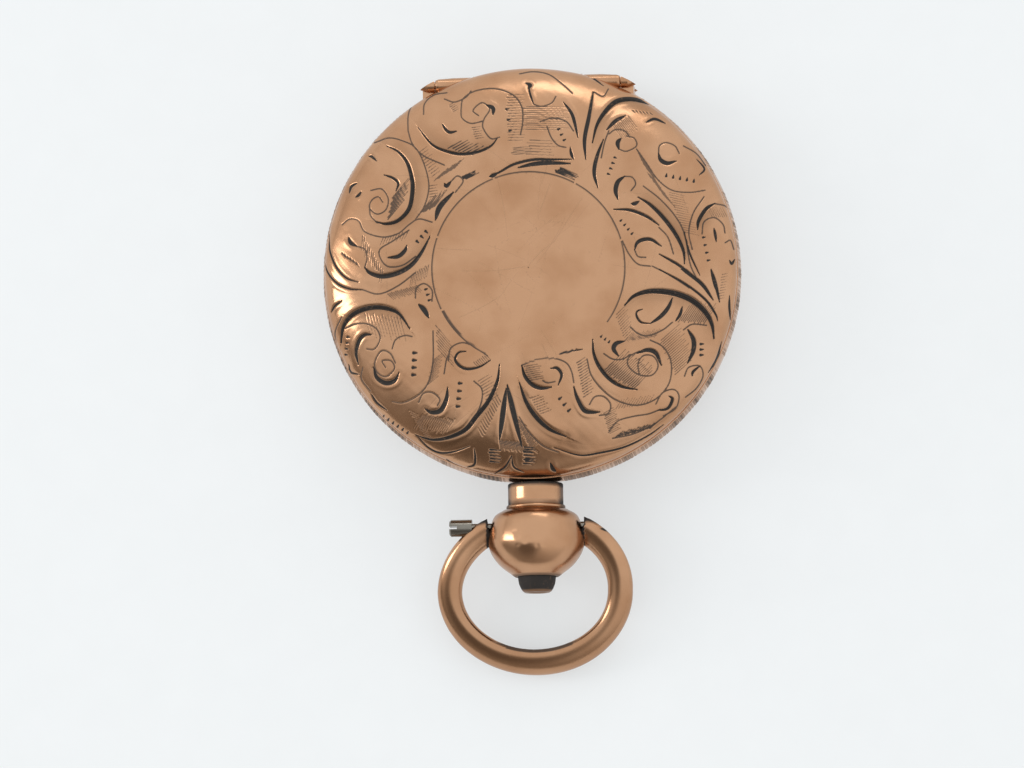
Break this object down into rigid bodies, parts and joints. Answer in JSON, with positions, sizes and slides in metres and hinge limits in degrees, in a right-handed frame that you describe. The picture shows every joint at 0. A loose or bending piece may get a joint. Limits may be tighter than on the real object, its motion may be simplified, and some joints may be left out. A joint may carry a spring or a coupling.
{
  "type": "fob watch",
  "caption": "Round hunter-cased fob watch in rose gold with scroll-engraved covers, a ball pendant with a push piece, a swinging bow, a hinged inner cover and a key-wound bar movement.",
  "frame": {"origin": "centre of the round case, halfway through the thickness of its middle band", "axes": "+Z out through the engraved back cover, -Z through the front cover and dial, -Y along the pendant towards the bow, hinges at +Y, +X to the right when the back is seen with the pendant at the bottom"},
  "size_m": [0.038, 0.0548, 0.0104],
  "materials": {
    "case_gold": "polished rose gold, engraved",
    "bow_gold": "polished rose gold, worn",
    "cuvette_metal": "polished base metal with a gilt wash",
    "dark_metal": "dark worn metal",
    "gilt_brass": "frosted gilding",
    "brass": "brushed",
    "steel": "polished",
    "spring_steel": "tempered",
    "blued_steel": "heat-blued steel",
    "ruby": "polished jewel",
    "enamel": "fired white enamel",
    "glass": "clear"
  },
  "bodies": {
    "case": {"case_band": "case_gold", "pendant_neck": "case_gold", "pendant_ball": "case_gold", "bow_screw": "steel", "back_hinge_pin": "case_gold", "front_hinge_pin": "case_gold", "bezel": "case_gold", "crystal": "glass", "lift_spring": "spring_steel", "spring_screws": "steel", "main_plate": "gilt_brass", "barrel_bar": "gilt_brass", "centre_bar": "gilt_brass", "third_wheel_bar": "gilt_brass", "fourth_wheel_bar": "gilt_brass", "escape_cock": "gilt_brass", "balance_cock": "gilt_brass", "bar_screws": "blued_steel", "case_screws": "steel", "jewels": "ruby", "click_spring": "spring_steel", "spring_stud": "steel", "dial": "enamel"},
    "back_cover": {"back_cover": "case_gold"},
    "cuvette": {"cuvette": "cuvette_metal"},
    "front_cover": {"front_cover": "case_gold"},
    "bow": {"bow": "bow_gold"},
    "push_piece": {"push_piece": "dark_metal"},
    "lock_spring": {"lock_spring": "spring_steel"},
    "fourth_wheel": {"fourth_wheel": "brass", "fourth_pinion": "steel"},
    "third_wheel": {"third_wheel": "brass", "third_pinion": "steel"},
    "centre_wheel": {"centre_wheel": "brass", "centre_pinion": "steel", "set_arbor": "steel", "cannon_pinion": "steel", "minute_hand": "blued_steel"},
    "escape_wheel": {"escape_wheel": "steel", "escape_pinion": "steel"},
    "barrel": {"barrel": "brass", "barrel_cover": "brass", "mainspring": "spring_steel"},
    "minute_wheel": {"minute_wheel": "brass"},
    "hour_wheel": {"hour_wheel": "brass", "hour_hand": "blued_steel"},
    "winding_arbor": {"barrel_arbor": "steel", "ratchet_wheel": "steel"},
    "click": {"click": "steel"},
    "balance": {"balance_wheel": "brass", "balance_staff": "steel", "balance_collet": "brass", "balance_spring": "blued_steel"},
    "regulator": {"regulator": "steel"}
  },
  "joints": [
    {"name": "back_cover_hinge", "type": "hinge", "parent": "case", "child": "back_cover", "pos_m": [0, 0.0174, 0.00176], "axis": [-1, 0, 0], "range_deg": [0, 100]},
    {"name": "cuvette_hinge", "type": "hinge", "parent": "case", "child": "cuvette", "pos_m": [0, 0.0174, 0.00176], "axis": [-1, 0, 0], "range_deg": [0, 75]},
    {"name": "front_cover_hinge", "type": "hinge", "parent": "case", "child": "front_cover", "pos_m": [0, 0.0174, -0.00176], "axis": [1, 0, 0], "range_deg": [0, 100]},
    {"name": "bow_swing", "type": "hinge", "parent": "case", "child": "bow", "pos_m": [0, -0.02295, 0], "axis": [1, 0, 0], "range_deg": [-150, 115]},
    {"name": "push_piece_slide", "type": "slide", "parent": "case", "child": "push_piece", "axis": [0, 1, 0], "range_m": [0, 0.0006]},
    {"name": "lock_spring_flex", "type": "hinge", "parent": "case", "child": "lock_spring", "pos_m": [-0.012, -0.01081, -0.00085], "axis": [0, 0, 1], "range_deg": [0, 3]},
    {"name": "fourth_wheel_turn", "type": "hinge", "parent": "case", "child": "fourth_wheel", "pos_m": [0.00894, -0.0016, 0], "axis": [0, 0, 1], "continuous": true},
    {"name": "third_wheel_turn", "type": "hinge", "parent": "case", "child": "third_wheel", "pos_m": [0.00532, 0.00094, 0], "axis": [0, 0, 1], "continuous": true},
    {"name": "centre_wheel_turn", "type": "hinge", "parent": "case", "child": "centre_wheel", "pos_m": [0, 0, 0], "axis": [0, 0, 1], "continuous": true},
    {"name": "escape_wheel_turn", "type": "hinge", "parent": "case", "child": "escape_wheel", "pos_m": [0.00791, -0.00542, 0], "axis": [0, 0, 1], "continuous": true},
    {"name": "barrel_turn", "type": "hinge", "parent": "case", "child": "barrel", "pos_m": [-0.00677, 0.00246, 0], "axis": [0, 0, 1], "continuous": true},
    {"name": "minute_wheel_turn", "type": "hinge", "parent": "case", "child": "minute_wheel", "pos_m": [0.00144, -0.00249, 0], "axis": [0, 0, 1], "continuous": true},
    {"name": "hour_wheel_turn", "type": "hinge", "parent": "case", "child": "hour_wheel", "pos_m": [0, 0, 0], "axis": [0, 0, 1], "continuous": true},
    {"name": "winding_turn", "type": "hinge", "parent": "case", "child": "winding_arbor", "pos_m": [-0.00677, 0.00246, 0], "axis": [0, 0, -1], "range_deg": [0, 1440]},
    {"name": "click_lift", "type": "hinge", "parent": "case", "child": "click", "pos_m": [-0.00723, -0.00106, 0], "axis": [0, 0, -1], "range_deg": [0, 8]},
    {"name": "balance_swing", "type": "hinge", "parent": "case", "child": "balance", "pos_m": [0.00604, -0.00684, 0], "axis": [0, 0, 1], "range_deg": [-180, 180], "deforming": ["balance_spring"]},
    {"name": "regulator_turn", "type": "hinge", "parent": "case", "child": "regulator", "pos_m": [0.00604, -0.00684, 0], "axis": [0, 0, 1], "range_deg": [-15, 15]}
  ],
  "couplings": [
    {"joint": "cuvette_hinge", "follows": "back_cover_hinge", "ratio": 0.75},
    {"joint": "lock_spring_flex", "follows": "push_piece_slide", "rad_per_m": 86.394},
    {"joint": "third_wheel_turn", "follows": "fourth_wheel_turn", "ratio": -0.13333},
    {"joint": "centre_wheel_turn", "follows": "fourth_wheel_turn", "ratio": 0.016667},
    {"joint": "escape_wheel_turn", "follows": "fourth_wheel_turn", "ratio": -10},
    {"joint": "barrel_turn", "follows": "fourth_wheel_turn", "ratio": -0.0020833},
    {"joint": "minute_wheel_turn", "follows": "fourth_wheel_turn", "ratio": -0.0055556},
    {"joint": "hour_wheel_turn", "follows": "fourth_wheel_turn", "ratio": 0.0013889}
  ]
}
